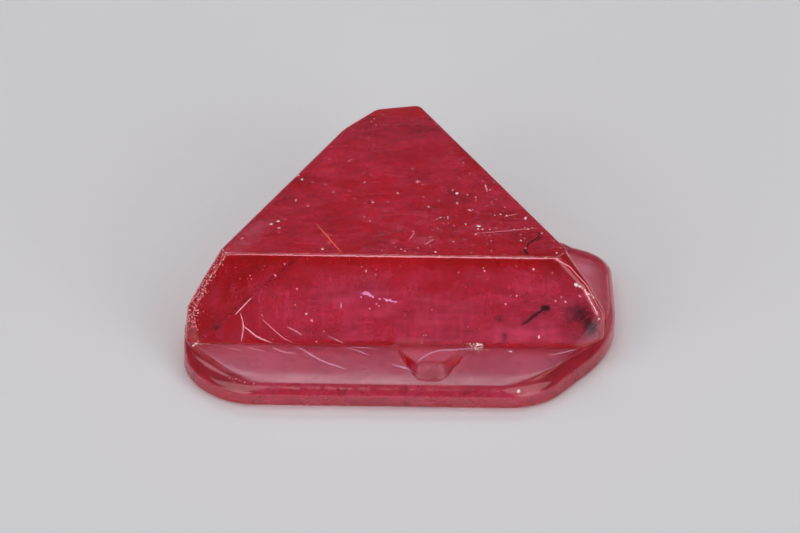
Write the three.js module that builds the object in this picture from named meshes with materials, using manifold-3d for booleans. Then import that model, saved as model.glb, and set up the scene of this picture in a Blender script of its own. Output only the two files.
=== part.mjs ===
// A natural red spinel crystal, twinned on the octahedral plane that lies flat.
//
// Millimetres, +Z up. The front, the long face under the straight edge of the top face, looks
// along -Y. The origin is the centre of the bounding box in plan, at the height of the base face.
//
// The crystal is one solid with two storeys. The lower one is a low plate with a softly worn lip.
// The upper one is a steeper block with a flat triangular top. The plate runs out in front of the
// block as a terrace, and to the right as a lobe; on the left the two are flush. The block's long
// sides are octahedral faces, which lean in towards the top. The plate's long sides are
// octahedral faces of the other twin half, which lean in towards the base. The short sides that
// cut off the corners stand upright, or nearly so. A low tongue of growth runs out from the block's
// foot over the middle of the terrace, highest at its tip.

import * as THREE from "three";
import Module from "manifold-3d";

// Heights above the base face.
const TOTAL_HEIGHT = 2.44;
const SHOULDER = 1.85; // above this the short sides lean in more
const KNEE = 1.25; // below this the block's left and right corners are cut off upright
const BLOCK_FOOT = 0.62;
const LIP_TOP = 0.59; // the terrace falls this far by the time it reaches the lip

// Octahedral faces stand this far off the vertical: 90 degrees less the angle between two of them.
const OCTAHEDRAL_LEAN = Math.tan(Math.PI / 2 - Math.acos(1 / 3));

// Rounding of the level edges, seen in section.
const TOP_EDGE_RADIUS = 0.045;
const LIP_WIDTH = 0.18;
const LIP_DROP = 0.25;
const LIP_TURN = THREE.MathUtils.degToRad(50); // from upright to where the lip meets the terrace
const BASE_EDGE_RADIUS = 0.09;

// The tongue. Each side has a heading and a reach, as the block's sides do, and the width of its
// slope in plan. The rise is its height over the terrace at the tip, and where it meets the block.
const TONGUE_SIDES = [
  { heading: 90, reach: -2.6, slope: 0 },
  { heading: 205, reach: 1.27, slope: 0.11 },
  { heading: 270, reach: 4.05, slope: 0.44 },
  { heading: 331.1, reach: 2.85, slope: 0.22 },
];
const TONGUE_RISE = { tip: 0.155, block: 0.043 };
const TONGUE_ROOT = 0.1; // how deep it is sunk into the plate

// How finely the outlines are drawn.
const ARC_STEPS = 7;
const EDGE_STEPS = 5;

// An octahedral side of the block, reaching further out at each level below the top face.
const octahedral = (heading, top) => ({
  heading,
  top,
  shoulder: top + (TOTAL_HEIGHT - SHOULDER) * OCTAHEDRAL_LEAN,
  knee: top + (TOTAL_HEIGHT - KNEE) * OCTAHEDRAL_LEAN,
  foot: top + (TOTAL_HEIGHT - BLOCK_FOOT) * OCTAHEDRAL_LEAN,
});

// Any other side of the block.
const side = (heading, top, shoulder, knee, foot) => ({
  heading,
  top,
  shoulder,
  knee,
  foot,
});

// The sides of the block. The heading is the direction a side faces in plan, in degrees from +X,
// anticlockwise. The rest are distances from the axis through the middle of the top face: at the
// top face, at the shoulder, at the knee and at the foot.
const BLOCK = {
  front: octahedral(-91.3, 2.2),
  frontRight: side(-42, 4.04, 4.6, 4.99, 4.95),
  right: side(8, 3.23, 3.655, 3.975, 4),
  backRight: octahedral(30, 2.13),
  back: side(99.3, 3.24, 3.34, 3.46, 3.62),
  backUpperLeft: side(137, 2.48, 2.6, 2.74, 2.97),
  backLeft: octahedral(150, 2.17),
  left: side(180, 3.6, 4, 4.32, 4.37),
  frontLeft: side(235, 3.74, 4.15, 4.47, 4.62),
};

// The wear on the block's upright corners, as radii at the same four levels.
const BLOCK_WEAR = {
  crisp: { top: 0.1, shoulder: 0.11, knee: 0.12, foot: 0.2 },
  soft: { top: 0.2, shoulder: 0.2, knee: 0.24, foot: 0.7 },
  tight: { top: 0.06, shoulder: 0.08, knee: 0.1, foot: 0.3 },
  blunt: { top: 0.35, shoulder: 0.32, knee: 0.3, foot: 0.5 },
  apex: { top: 0.16, shoulder: 0.23, knee: 0.3, foot: 0.4 },
  broken: { top: 0.3, shoulder: 0.3, knee: 0.3, foot: 0.3 },
  chipped: { top: 1, shoulder: 0.9, knee: 0.8, foot: 0.6 },
};

// The sides of the plate. The reach is the distance from the same axis where the plate is widest.
// The lip is the share of the full lip's width on that side; lean is 1 where the side is
// octahedral.
const PLATE = {
  front: { heading: -91.3, reach: 4.34, lip: 1, lean: 1 },
  frontRight: { heading: -38, reach: 5.06, lip: 1.3, lean: 0 },
  right: { heading: 2, reach: 4.57, lip: 0.6, lean: 0 },
  lobeBack: { heading: 64, reach: 2.51, lip: 0.8, lean: 0 },
  backRight: { heading: 30, reach: 2.92, lip: 0.3, lean: 1 },
  back: { heading: 95, reach: 3.95, lip: 0.3, lean: 0 },
  backUpperLeft: { heading: 122, reach: 3.5, lip: 0.2, lean: 0 },
  backLeft: { heading: 150, reach: 2.88, lip: 0.1, lean: 1 },
  left: { heading: 180, reach: 4.4, lip: 0.05, lean: 0 },
  frontLeft: { heading: 225, reach: 5.43, lip: 1.8, lean: 0.3 },
};

// The wear on the plate's upright corners.
const PLATE_WEAR = {
  frontRight: 1.4,
  right: 2.8,
  lobe: 0.9,
  hollow: 0.5,
  back: 0.6,
  backLeft: 0.5,
  left: 0.9,
  frontLeft: 1.45,
};

const normalOf = (heading) => {
  const angle = THREE.MathUtils.degToRad(heading);
  return new THREE.Vector2(Math.cos(angle), Math.sin(angle));
};

// The point where two sides of an outline would meet if their corner weren't worn.
function sharpCorner(a, b) {
  const na = normalOf(a.heading);
  const nb = normalOf(b.heading);
  const det = na.cross(nb);
  return new THREE.Vector2(
    (a.reach * nb.y - b.reach * na.y) / det,
    (b.reach * na.x - a.reach * nb.x) / det,
  );
}

// The points of a worn corner: an arc that touches both sides. It bulges out at an ordinary
// corner, and in at a hollow one, where the outline turns back on itself.
function wornCorner({ a, b, wear, steps = ARC_STEPS }) {
  let turn = THREE.MathUtils.euclideanModulo(b.heading - a.heading, 360);
  if (turn > 180) turn -= 360;
  const bulge = Math.sign(turn) * wear;
  const half = THREE.MathUtils.degToRad(turn) / 2;
  const na = normalOf(a.heading);
  const along = new THREE.Vector2(-na.y, na.x);
  const centre = sharpCorner(a, b)
    .addScaledVector(along, -bulge * Math.tan(half))
    .addScaledVector(na, -bulge);
  const points = [];
  for (let i = 0; i <= steps; i++) {
    const normal = normalOf(a.heading + (turn * i) / steps);
    points.push(centre.clone().addScaledVector(normal, bulge));
  }
  return points;
}

// A closed outline from its worn corners: arcs joined by straight sides.
const outline = (corners) => corners.flatMap(wornCorner);

// The block's four levels, from the top down.
const LEVELS = [
  { name: "top", height: TOTAL_HEIGHT },
  { name: "shoulder", height: SHOULDER },
  { name: "knee", height: KNEE },
  { name: "foot", height: BLOCK_FOOT },
];

// A value given at the block's four levels, at height z.
function atHeight(values, z) {
  const i = Math.max(LEVELS.findIndex(({ height }) => z > height), 1);
  const [above, below] = z > BLOCK_FOOT ? LEVELS.slice(i - 1, i + 1) : LEVELS.slice(-2);
  return THREE.MathUtils.mapLinear(
    z,
    below.height,
    above.height,
    values[below.name],
    values[above.name],
  );
}

// The block's outline at height z, drawn in by inset.
function blockOutline(z, inset = 0) {
  const drawn = (name) => ({
    heading: BLOCK[name].heading,
    reach: atHeight(BLOCK[name], z) - inset,
  });
  const corner = (a, b, kind) => ({
    a: drawn(a),
    b: drawn(b),
    wear: atHeight(BLOCK_WEAR[kind], z),
  });
  // The plate has two corners, either side of its lobe, where the block has one.
  const lobeSteps = 2 * ARC_STEPS + 1;
  return outline([
    corner("front", "frontRight", "soft"),
    corner("frontRight", "right", "tight"),
    { ...corner("right", "backRight", "blunt"), steps: lobeSteps },
    corner("backRight", "back", "apex"),
    corner("back", "backUpperLeft", "broken"),
    corner("backUpperLeft", "backLeft", "chipped"),
    corner("backLeft", "left", "crisp"),
    corner("left", "frontLeft", "crisp"),
    corner("frontLeft", "front", "crisp"),
  ]);
}

// The plate's outline. Every side is drawn in by inset, and by its own share of lip and of lean.
function plateOutline({ inset = 0, lip = 0, lean = 0 }) {
  const drawn = (name) => {
    const { heading, reach, ...share } = PLATE[name];
    const drawnIn = inset + lip * share.lip + lean * share.lean;
    return { heading, reach: reach - drawnIn };
  };
  const corner = (a, b, kind) => ({
    a: drawn(a),
    b: drawn(b),
    wear: PLATE_WEAR[kind],
  });
  return outline([
    corner("front", "frontRight", "frontRight"),
    corner("frontRight", "right", "right"),
    corner("right", "lobeBack", "lobe"),
    corner("lobeBack", "backRight", "hollow"),
    corner("backRight", "back", "back"),
    corner("back", "backUpperLeft", "back"),
    corner("backUpperLeft", "backLeft", "backLeft"),
    corner("backLeft", "left", "left"),
    corner("left", "frontLeft", "frontLeft"),
    corner("frontLeft", "front", "frontLeft"),
  ]);
}

// Angles from 0 to the whole turn, the steps of a rounded edge.
const turning = (whole) =>
  Array.from({ length: EDGE_STEPS + 1 }, (_, i) => (i / EDGE_STEPS) * whole);
const quarterTurn = turning(Math.PI / 2);

// Every ring of the crystal from the base up, each { z, points }.
function crystalRings() {
  const widest = LIP_TOP - LIP_DROP;
  const baseEdge = quarterTurn.map((angle) => {
    const z = BASE_EDGE_RADIUS * (1 - Math.cos(angle));
    const inset = BASE_EDGE_RADIUS * (1 - Math.sin(angle));
    const lean = (widest - z) * OCTAHEDRAL_LEAN;
    return { z, points: plateOutline({ inset, lean }) };
  });
  const lip = turning(LIP_TURN).map((angle) => {
    const inward = (1 - Math.cos(angle)) / (1 - Math.cos(LIP_TURN));
    const upward = Math.sin(angle) / Math.sin(LIP_TURN);
    return {
      z: widest + LIP_DROP * upward,
      points: plateOutline({ lip: LIP_WIDTH * inward }),
    };
  });
  const steps = [BLOCK_FOOT, KNEE, SHOULDER].map((z) => ({
    z,
    points: blockOutline(z),
  }));
  const topEdge = quarterTurn.map((angle) => {
    const z = TOTAL_HEIGHT - TOP_EDGE_RADIUS * (1 - Math.sin(angle));
    const inset = TOP_EDGE_RADIUS * (1 - Math.cos(angle));
    return { z, points: blockOutline(z, inset) };
  });
  return [...baseEdge, ...lip, ...steps, ...topEdge];
}

// A closed solid through rings that all have the same number of points, with flat ends.
function loft(rings) {
  const count = rings[0].points.length;
  const positions = rings.flatMap(({ z, points }) =>
    points.flatMap((p) => [p.x, p.y, z]),
  );
  const index = [];
  for (let r = 0; r + 1 < rings.length; r++) {
    for (let i = 0; i < count; i++) {
      const a = r * count + i;
      const b = r * count + ((i + 1) % count);
      index.push(a, b, b + count, a, b + count, a + count);
    }
  }
  const base = positions.length / 3;
  const top = base + 1;
  positions.push(0, 0, rings[0].z, 0, 0, rings.at(-1).z);
  const last = (rings.length - 1) * count;
  for (let i = 0; i < count; i++) {
    const j = (i + 1) % count;
    index.push(base, j, i, top, last + i, last + j);
  }
  const geometry = new THREE.BufferGeometry();
  geometry.setAttribute(
    "position",
    new THREE.Float32BufferAttribute(positions, 3),
  );
  geometry.setIndex(new THREE.Uint32BufferAttribute(index, 1));
  return geometry;
}

// The corner points of the tongue, its sides drawn in by shares of their slopes.
function tongueCorners(share, heightAt) {
  const sides = TONGUE_SIDES.map(({ heading, reach, slope }) => ({
    heading,
    reach: reach - slope * share,
  }));
  return sides.map((a, i) => {
    const { x, y } = sharpCorner(a, sides[(i + 1) % sides.length]);
    return [x, y, heightAt(y)];
  });
}

// The geometry with the tongue grown onto it.
async function withTongue(geometry) {
  const wasm = await Module();
  wasm.setup();
  const crystal = new wasm.Manifold(
    new wasm.Mesh({
      numProp: 3,
      vertProperties: geometry.attributes.position.array,
      triVerts: geometry.index.array,
    }),
  );
  const [back, , tip] = TONGUE_SIDES;
  const tipEdge = -(tip.reach - tip.slope);
  const crest = (y) =>
    BLOCK_FOOT +
    THREE.MathUtils.mapLinear(y, tipEdge, back.reach, TONGUE_RISE.tip, TONGUE_RISE.block);
  const tongue = wasm.Manifold.hull([
    ...tongueCorners(0, () => BLOCK_FOOT - TONGUE_ROOT),
    ...tongueCorners(0, () => LIP_TOP),
    ...tongueCorners(1, crest),
  ]);
  const { vertProperties, triVerts } = crystal.add(tongue).getMesh();
  const result = new THREE.BufferGeometry();
  result.setAttribute("position", new THREE.BufferAttribute(vertProperties, 3));
  result.setIndex(new THREE.BufferAttribute(triVerts, 1));
  return result;
}

// Moves a geometry so that its bounding box is centred on the Z axis and stands on z = 0.
function standOnOrigin(geometry) {
  geometry.computeBoundingBox();
  const { min, max } = geometry.boundingBox;
  return geometry.translate(
    -(min.x + max.x) / 2,
    -(min.y + max.y) / 2,
    -min.z,
  );
}

const geometry = standOnOrigin(await withTongue(loft(crystalRings())));
geometry.computeVertexNormals();

const spinel = new THREE.MeshStandardMaterial({
  color: new THREE.Color(0.62, 0.05, 0.12),
  roughness: 0.08,
  metalness: 0,
  flatShading: true,
  transparent: true,
  opacity: 0.8,
});

const crystal = new THREE.Mesh(geometry, spinel);
crystal.name = "spinel_crystal";

const part = new THREE.Group();
part.add(crystal);

export default part;
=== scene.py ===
"""Looks for the spinel crystal: a clear red crystal on a pale table, in soft studio light.

Lengths are millimetres until they go into a mesh, a light or the camera; MM turns them into
metres. Plan positions are measured from the axis through the middle of the top face.
"""

import math

import bpy
import numpy as np
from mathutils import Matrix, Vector, noise
from mathutils.bvhtree import BVHTree


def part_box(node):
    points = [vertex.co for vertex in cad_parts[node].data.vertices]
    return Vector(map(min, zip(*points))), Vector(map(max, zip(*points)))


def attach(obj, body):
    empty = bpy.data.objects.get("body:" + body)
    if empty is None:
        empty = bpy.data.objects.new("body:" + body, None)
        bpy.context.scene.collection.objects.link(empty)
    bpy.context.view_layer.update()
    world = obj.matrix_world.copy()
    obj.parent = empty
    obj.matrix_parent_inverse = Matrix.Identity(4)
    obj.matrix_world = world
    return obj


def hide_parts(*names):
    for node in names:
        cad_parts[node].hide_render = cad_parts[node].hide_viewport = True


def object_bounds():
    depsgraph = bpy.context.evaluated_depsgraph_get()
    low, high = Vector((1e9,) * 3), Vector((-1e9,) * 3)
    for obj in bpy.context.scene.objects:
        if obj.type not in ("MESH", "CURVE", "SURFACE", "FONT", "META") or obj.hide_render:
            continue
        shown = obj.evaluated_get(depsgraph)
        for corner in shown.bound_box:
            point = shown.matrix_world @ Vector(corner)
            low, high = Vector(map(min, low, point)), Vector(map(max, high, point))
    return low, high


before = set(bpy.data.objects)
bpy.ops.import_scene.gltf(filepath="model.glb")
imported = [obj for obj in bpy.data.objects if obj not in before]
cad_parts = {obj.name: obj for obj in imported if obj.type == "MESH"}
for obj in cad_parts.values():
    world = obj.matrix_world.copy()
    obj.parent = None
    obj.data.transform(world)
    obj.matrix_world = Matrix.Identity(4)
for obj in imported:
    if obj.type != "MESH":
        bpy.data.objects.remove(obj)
cad_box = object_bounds()

MM = 0.001
NODE = "spinel_crystal"
SEED = 11
rng = np.random.default_rng(SEED)

# ---- The crystal's dimensions ----

LOW, HIGH = (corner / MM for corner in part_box(NODE))
TOTAL_HEIGHT = HIGH.z - LOW.z
# The block's sides change slope at its shoulder and knee. Its foot stands on the plate.
SHOULDER = 1.85
KNEE = 1.25
BLOCK_FOOT = 0.62
# How far an octahedral face goes out for each millimetre down.
OCTAHEDRAL_LEAN = math.tan(math.pi / 2 - math.acos(1 / 3))
TOP_EDGE_RADIUS = 0.045

# The plate is widest LIP_DROP below its lip's top, and the lip is LIP_WIDTH across from there.
LIP_TOP = 0.59
LIP_WIDTH = 0.18
LIP_DROP = 0.25
WIDEST = LIP_TOP - LIP_DROP
# The lip turns this far from upright before it meets the terrace, at a blunt edge.
LIP_TURN = math.radians(50)
BASE_EDGE_RADIUS = 0.09
# The terrace bends down towards its lip by this much over this width.
CROWN_DROP = 0.05
CROWN_WIDTH = 0.8
# A tongue of the block's growth spreads over the terrace. Its sides, each (heading, reach), and
# how far in from each of them it takes to rise to its full height.
TONGUE_SIDES = ((205, 1.27), (-90, 4.05), (-28.9, 2.85))
TONGUE_SLOPE = (0.11, 0.44, 0.22)
TONGUE_RISE = 0.17
TONGUE_ROUNDING = 0.07
# How much of its rise the tongue loses towards the block, and over which stretch of y.
TONGUE_SAG = 0.75
TONGUE_SAG_AT = (-3.75, -2.95)
# Heights between which its rise sets in, and how far up the block's foot it dies out.
TONGUE_START = (0.2, LIP_TOP - 0.1)
TONGUE_FADE = 0.35
# How far the plate's rim wanders in and out, as a share of its reach, and over what length.
RIM_WAVES = 0.0015
RIM_WAVE_SIZE = 0.4


def octahedral(heading, top):
    """An octahedral side of the block, which reaches further out at each level down."""
    return {
        "heading": heading,
        "top": top,
        "shoulder": top + (TOTAL_HEIGHT - SHOULDER) * OCTAHEDRAL_LEAN,
        "knee": top + (TOTAL_HEIGHT - KNEE) * OCTAHEDRAL_LEAN,
        "foot": top + (TOTAL_HEIGHT - BLOCK_FOOT) * OCTAHEDRAL_LEAN,
    }


def side(heading, top, shoulder, knee, foot):
    """Another side of the block, with its reach at each level."""
    return {"heading": heading, "top": top, "shoulder": shoulder, "knee": knee, "foot": foot}


LEVELS = {"foot": BLOCK_FOOT, "knee": KNEE, "shoulder": SHOULDER, "top": TOTAL_HEIGHT}
BLOCK = {
    "front": octahedral(-91.3, 2.2),
    "front_right": side(-42, 4.04, 4.60, 4.99, 4.95),
    "right": side(8, 3.23, 3.655, 3.975, 4.0),
    "back_right": octahedral(30, 2.13),
    "back": side(99.3, 3.24, 3.34, 3.46, 3.62),
    "back_upper_left": side(137, 2.48, 2.60, 2.74, 2.97),
    "back_left": octahedral(150, 2.17),
    "left": side(180, 3.6, 4.0, 4.32, 4.37),
    "front_left": side(235, 3.74, 4.15, 4.47, 4.62),
}
# The radius of a corner of the block at each level.
BLOCK_WEAR = {
    "crisp": {"top": 0.1, "shoulder": 0.11, "knee": 0.12, "foot": 0.2},
    "soft": {"top": 0.2, "shoulder": 0.2, "knee": 0.24, "foot": 0.7},
    "tight": {"top": 0.06, "shoulder": 0.08, "knee": 0.1, "foot": 0.3},
    "blunt": {"top": 0.35, "shoulder": 0.32, "knee": 0.3, "foot": 0.5},
    "apex": {"top": 0.16, "shoulder": 0.23, "knee": 0.3, "foot": 0.4},
    "broken": {"top": 0.3, "shoulder": 0.3, "knee": 0.3, "foot": 0.3},
    "chipped": {"top": 1.0, "shoulder": 0.9, "knee": 0.8, "foot": 0.6},
}
BLOCK_CORNERS = [
    ("front", "front_right", "soft"),
    ("front_right", "right", "tight"),
    ("right", "back_right", "blunt"),
    ("back_right", "back", "apex"),
    ("back", "back_upper_left", "broken"),
    ("back_upper_left", "back_left", "chipped"),
    ("back_left", "left", "crisp"),
    ("left", "front_left", "crisp"),
    ("front_left", "front", "crisp"),
]


def plate_side(heading, reach, lip, lean):
    """A side of the plate, with the shares it takes of the lip's width and the side's lean."""
    return {"heading": heading, "reach": reach, "lip": lip, "lean": lean}


PLATE = {
    "front": plate_side(-91.3, 4.34, 1, 1),
    "front_right": plate_side(-38, 5.06, 1.3, 0),
    "right": plate_side(2, 4.57, 0.6, 0),
    "lobe_back": plate_side(64, 2.51, 0.8, 0),
    "back_right": plate_side(30, 2.92, 0.3, 1),
    "back": plate_side(95, 3.95, 0.3, 0),
    "back_upper_left": plate_side(122, 3.5, 0.2, 0),
    "back_left": plate_side(150, 2.88, 0.1, 1),
    "left": plate_side(180, 4.4, 0.05, 0),
    "front_left": plate_side(225, 5.43, 1.8, 0.3),
}
PLATE_CORNERS = [
    ("front", "front_right", 1.4),
    ("front_right", "right", 2.8),
    ("right", "lobe_back", 0.9),
    ("lobe_back", "back_right", 0.5),
    ("back_right", "back", 0.6),
    ("back", "back_upper_left", 0.6),
    ("back_upper_left", "back_left", 0.5),
    ("back_left", "left", 0.9),
    ("left", "front_left", 1.45),
    ("front_left", "front", 1.45),
]

ARC_STEPS = 14
# How many steps each side of an outline has between its corners.
SIDE_STEPS = {
    "front": 180,
    "front_right": 8,
    "right": 8,
    "lobe_back": 16,
    "back_right": 64,
    "back": 10,
    "back_upper_left": 12,
    "back_left": 70,
    "left": 8,
    "front_left": 6,
}


# ---- Outlines ----

def heading_vector(heading):
    angle = math.radians(heading)
    return np.array((math.cos(angle), math.sin(angle)))


def worn_corner(a, b, wear, steps):
    """An arc that touches two sides, each (heading, reach). A hollow corner's arc bulges in."""
    na, nb = heading_vector(a[0]), heading_vector(b[0])
    sharp = np.linalg.solve(np.array((na, nb)), np.array((a[1], b[1])))
    turn = (b[0] - a[0]) % 360
    if turn > 180:
        turn -= 360
    bulge = math.copysign(wear, turn)
    along = np.array((-na[1], na[0]))
    centre = sharp - along * bulge * math.tan(math.radians(turn) / 2) - na * bulge
    return [
        centre + heading_vector(a[0] + turn * i / steps) * bulge
        for i in range(steps + 1)
    ]


def outline(corners):
    """A closed outline from (side, side, wear, steps, steps of the side after it) corners."""
    arcs = [worn_corner(a, b, wear, steps) for a, b, wear, steps, _ in corners]
    points = []
    for i, arc in enumerate(arcs):
        points += arc
        after = corners[i][4]
        start, end = arc[-1], arcs[(i + 1) % len(arcs)][0]
        points += [start + (end - start) * k / after for k in range(1, after)]
    return np.array(points)


def block_outline(z, inset=0.0):
    """The block's outline at height z, drawn in by inset."""

    def at_level(values):
        return float(np.interp(z, list(LEVELS.values()), [values[k] for k in LEVELS]))

    corners = []
    for a, b, kind in BLOCK_CORNERS:
        steps = ARC_STEPS
        if (a, b) == ("right", "back_right"):
            # The plate has two corners, either side of its lobe, where the block has one.
            steps = 2 * ARC_STEPS + SIDE_STEPS["lobe_back"]
        sides = [(BLOCK[s]["heading"], at_level(BLOCK[s]) - inset) for s in (a, b)]
        corners.append((*sides, at_level(BLOCK_WEAR[kind]), steps, SIDE_STEPS[b]))
    return outline(corners)


def plate_outline(inset=0.0, lip=0.0, lean=0.0):
    """The plate's outline, each side drawn in by inset and by its share of lip and lean."""
    corners = []
    for a, b, wear in PLATE_CORNERS:
        sides = []
        for values in (PLATE[a], PLATE[b]):
            drawn_in = inset + lip * values["lip"] + lean * values["lean"]
            sides.append((values["heading"], values["reach"] - drawn_in))
        corners.append((*sides, wear, ARC_STEPS, SIDE_STEPS[b]))
    return outline(corners)


# ---- The crystal's mesh ----

EDGE_STEPS = 8
LIP_STEPS = 12
# How near, as a share of a step, the rings stand either side of the block's foot.
CREASE_SHARE = 0.3
RIM_STEPS = 6
TERRACE_STEPS = 36
FACE_STEPS = 18
TOP_STEPS = 26
BASE_STEPS = 10


def quarter_turn(steps):
    return [math.pi / 2 * i / steps for i in range(steps + 1)]


def level(points, z):
    return np.column_stack((points, np.full(len(points), z)))


def between(a, b, steps):
    """The rings between two rings, without the two themselves."""
    return [a + (b - a) * i / steps for i in range(1, steps)]


def shrinking(ring, centre, steps):
    """Rings that fill a flat end, from its edge almost to centre."""
    return [centre + (ring - centre) * (1 - i / steps) for i in range(1, steps)]


def side_ring(height, inset):
    """The ring round the plate at a height below its lip, drawn in by inset."""
    return level(plate_outline(inset, lean=(WIDEST - height) * OCTAHEDRAL_LEAN), height)


def lip_ring(angle, depth=0.0):
    """The ring round the plate where its lip has turned by angle, depth inside the lip."""
    drawn_in = LIP_WIDTH * (1 - math.cos(angle)) / (1 - math.cos(LIP_TURN))
    rise = (LIP_DROP - CROWN_DROP) * math.sin(angle) / math.sin(LIP_TURN)
    height = WIDEST + rise - depth * math.sin(angle)
    return level(plate_outline(depth * math.cos(angle), lip=drawn_in), height)


def bend_down(ring, rim, share, depth=0.0):
    """Set ring's heights, share of the way from rim to the block's foot, to the terrace's."""
    inward = np.linalg.norm(ring[:, :2] - rim[:, :2], axis=1)
    flat = BLOCK_FOOT - depth - (BLOCK_FOOT - LIP_TOP) * (1 - share)
    ring[:, 2] = flat - CROWN_DROP * np.clip(1 - inward / CROWN_WIDTH, 0, 1) ** 2


def crystal_rings():
    """Rings from the middle of the base, out and up round the sides, to the middle of the top."""
    base_edge = []
    for angle in quarter_turn(EDGE_STEPS // 2):
        z = BASE_EDGE_RADIUS * (1 - math.cos(angle))
        base_edge.append(side_ring(z, BASE_EDGE_RADIUS * (1 - math.sin(angle))))
    lip = [lip_ring(LIP_TURN * i / LIP_STEPS) for i in range(LIP_STEPS + 1)]
    foot = level(block_outline(BLOCK_FOOT), BLOCK_FOOT)
    terrace = between(lip[-1], foot, TERRACE_STEPS)
    terrace.append(foot + (terrace[-1] - foot) * CREASE_SHARE)
    for i, ring in enumerate(terrace):
        bend_down(ring, lip[-1], (i + 1) / (len(terrace) + 1))
    knee = level(block_outline(KNEE), KNEE)
    shoulder = level(block_outline(SHOULDER), SHOULDER)
    top_edge = []
    for angle in quarter_turn(EDGE_STEPS):
        z = TOTAL_HEIGHT - TOP_EDGE_RADIUS * (1 - math.sin(angle))
        inset = TOP_EDGE_RADIUS * (1 - math.cos(angle))
        top_edge.append(level(block_outline(z, inset), z))
    base_middle = np.array((0.0, 0.0, 0.0))
    top_middle = np.array((0.0, 0.0, TOTAL_HEIGHT))
    return [
        *reversed(shrinking(base_edge[0], base_middle, BASE_STEPS)),
        *base_edge,
        *between(base_edge[-1], lip[0], RIM_STEPS),
        *lip,
        *terrace,
        foot,
        foot + (knee - foot) * CREASE_SHARE / FACE_STEPS,
        *between(foot, knee, FACE_STEPS),
        knee,
        *between(knee, shoulder, FACE_STEPS // 2),
        shoulder,
        *between(shoulder, top_edge[0], FACE_STEPS // 2),
        *top_edge,
        *shrinking(top_edge[-1], top_middle, TOP_STEPS),
    ]


def closed_mesh(rings):
    """A closed mesh through rings of equally many points, its two ends drawn to a point."""
    count = len(rings[0])
    points = [*np.concatenate(rings), rings[0].mean(0), rings[-1].mean(0)]
    faces = []
    for r in range(len(rings) - 1):
        for i in range(count):
            a, b = r * count + i, r * count + (i + 1) % count
            faces.append((a, b, b + count, a + count))
    base, top = len(points) - 2, len(points) - 1
    last = (len(rings) - 1) * count
    for i in range(count):
        j = (i + 1) % count
        faces.append((base, j, i))
        faces.append((top, last + i, last + j))
    return points, faces


def place(points):
    """The points where the CAD solid stands, in metres, and the axis they were measured from."""
    points = np.array(points)
    low, high = points.min(0), points.max(0)
    middle = np.array(((LOW.x + HIGH.x) / 2, (LOW.y + HIGH.y) / 2, LOW.z))
    shift = middle - np.array(((low[0] + high[0]) / 2, (low[1] + high[1]) / 2, low[2]))
    return (points + shift) * MM, shift


def add_mesh(name, points, faces, smooth=True):
    mesh = bpy.data.meshes.new(name)
    mesh.from_pydata([tuple(p) for p in points], [], faces)
    mesh.validate()
    if smooth:
        mesh.shade_smooth()
    piece = bpy.data.objects.new(name, mesh)
    bpy.context.scene.collection.objects.link(piece)
    return piece


def smoothstep(low, high, value):
    share = np.clip((value - low) / (high - low), 0, 1)
    return share * share * (3 - 2 * share)


def behind(name, points):
    """How far points lie inside one of the block's sides."""
    reach = np.interp(points[:, 2], list(LEVELS.values()), [BLOCK[name][k] for k in LEVELS])
    return reach - points[:, :2] @ heading_vector(BLOCK[name]["heading"])


def noise_at(points, scale, octaves, seed):
    """Smooth noise, about -1 to 1, with features about scale across."""
    offset = Vector((seed, seed * 0.7, -seed))
    return np.array([
        noise.fractal(Vector(p) / scale + offset, 1.0, 2.0, octaves, noise_basis="PERLIN_ORIGINAL")
        for p in points
    ])


def tongue_rise(points):
    """How much the tongue lifts the skin at each point."""
    inside = np.array([
        reach - points[:, :2] @ heading_vector(heading) for heading, reach in TONGUE_SIDES
    ])
    nearest = inside.min(0)
    weights = np.exp((nearest - inside) / TONGUE_ROUNDING)
    share = nearest - TONGUE_ROUNDING * np.log(weights.sum(0))
    share /= (weights * np.array(TONGUE_SLOPE)[:, None]).sum(0) / weights.sum(0)
    lift = TONGUE_RISE * np.clip(share, 0, 1)
    lift = lift * (1 - TONGUE_SAG * smoothstep(*TONGUE_SAG_AT, points[:, 1]))
    z = points[:, 2]
    above_side = smoothstep(*TONGUE_START, z)
    return lift * above_side * smoothstep(BLOCK_FOOT + TONGUE_FADE, BLOCK_FOOT, z)


points, faces = closed_mesh(crystal_rings())
points = np.array(points)
lift = tongue_rise(points)
points[:, 2] += lift
rim_share = smoothstep(LIP_TOP, LIP_TOP - 0.15, points[:, 2]) * smoothstep(0.02, 0.1, points[:, 2])
points[:, :2] *= 1 + (RIM_WAVES * rim_share * noise_at(points, RIM_WAVE_SIZE, 3, 5.0))[:, None]

# How matte each part of the skin is, from 0, a bright growth face, to 1, etched or bruised.
LEFT_RIM_FROST = 0.12
RIGHT_RIM_FROST = 0.15
BACK_FROST = 0.05
APEX_FROST = 0.4
UNDER_FROST = 0.9
SIDE_FROST = 0.06
LOW_SIDE_FROST = 0.26
TERRACE_FROST = 0.16
TONGUE_FROST = 0.14
FRONT_FROST = 0.10
TOP_FROST = 0.05
# The base is etched only behind here; the plate's front is clear right through.
CLEAR_FRONT = -1.9
# A face's mask fades out this far inside it.
FACE_FADE = (0.05, 0.01)
WIDE_FACE_FADE = (0.08, 0.03)


def least_behind(*names):
    """How far the crystal's points lie inside the nearest of these sides of the block."""
    return np.min([behind(name, points) for name in names], axis=0)


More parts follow.
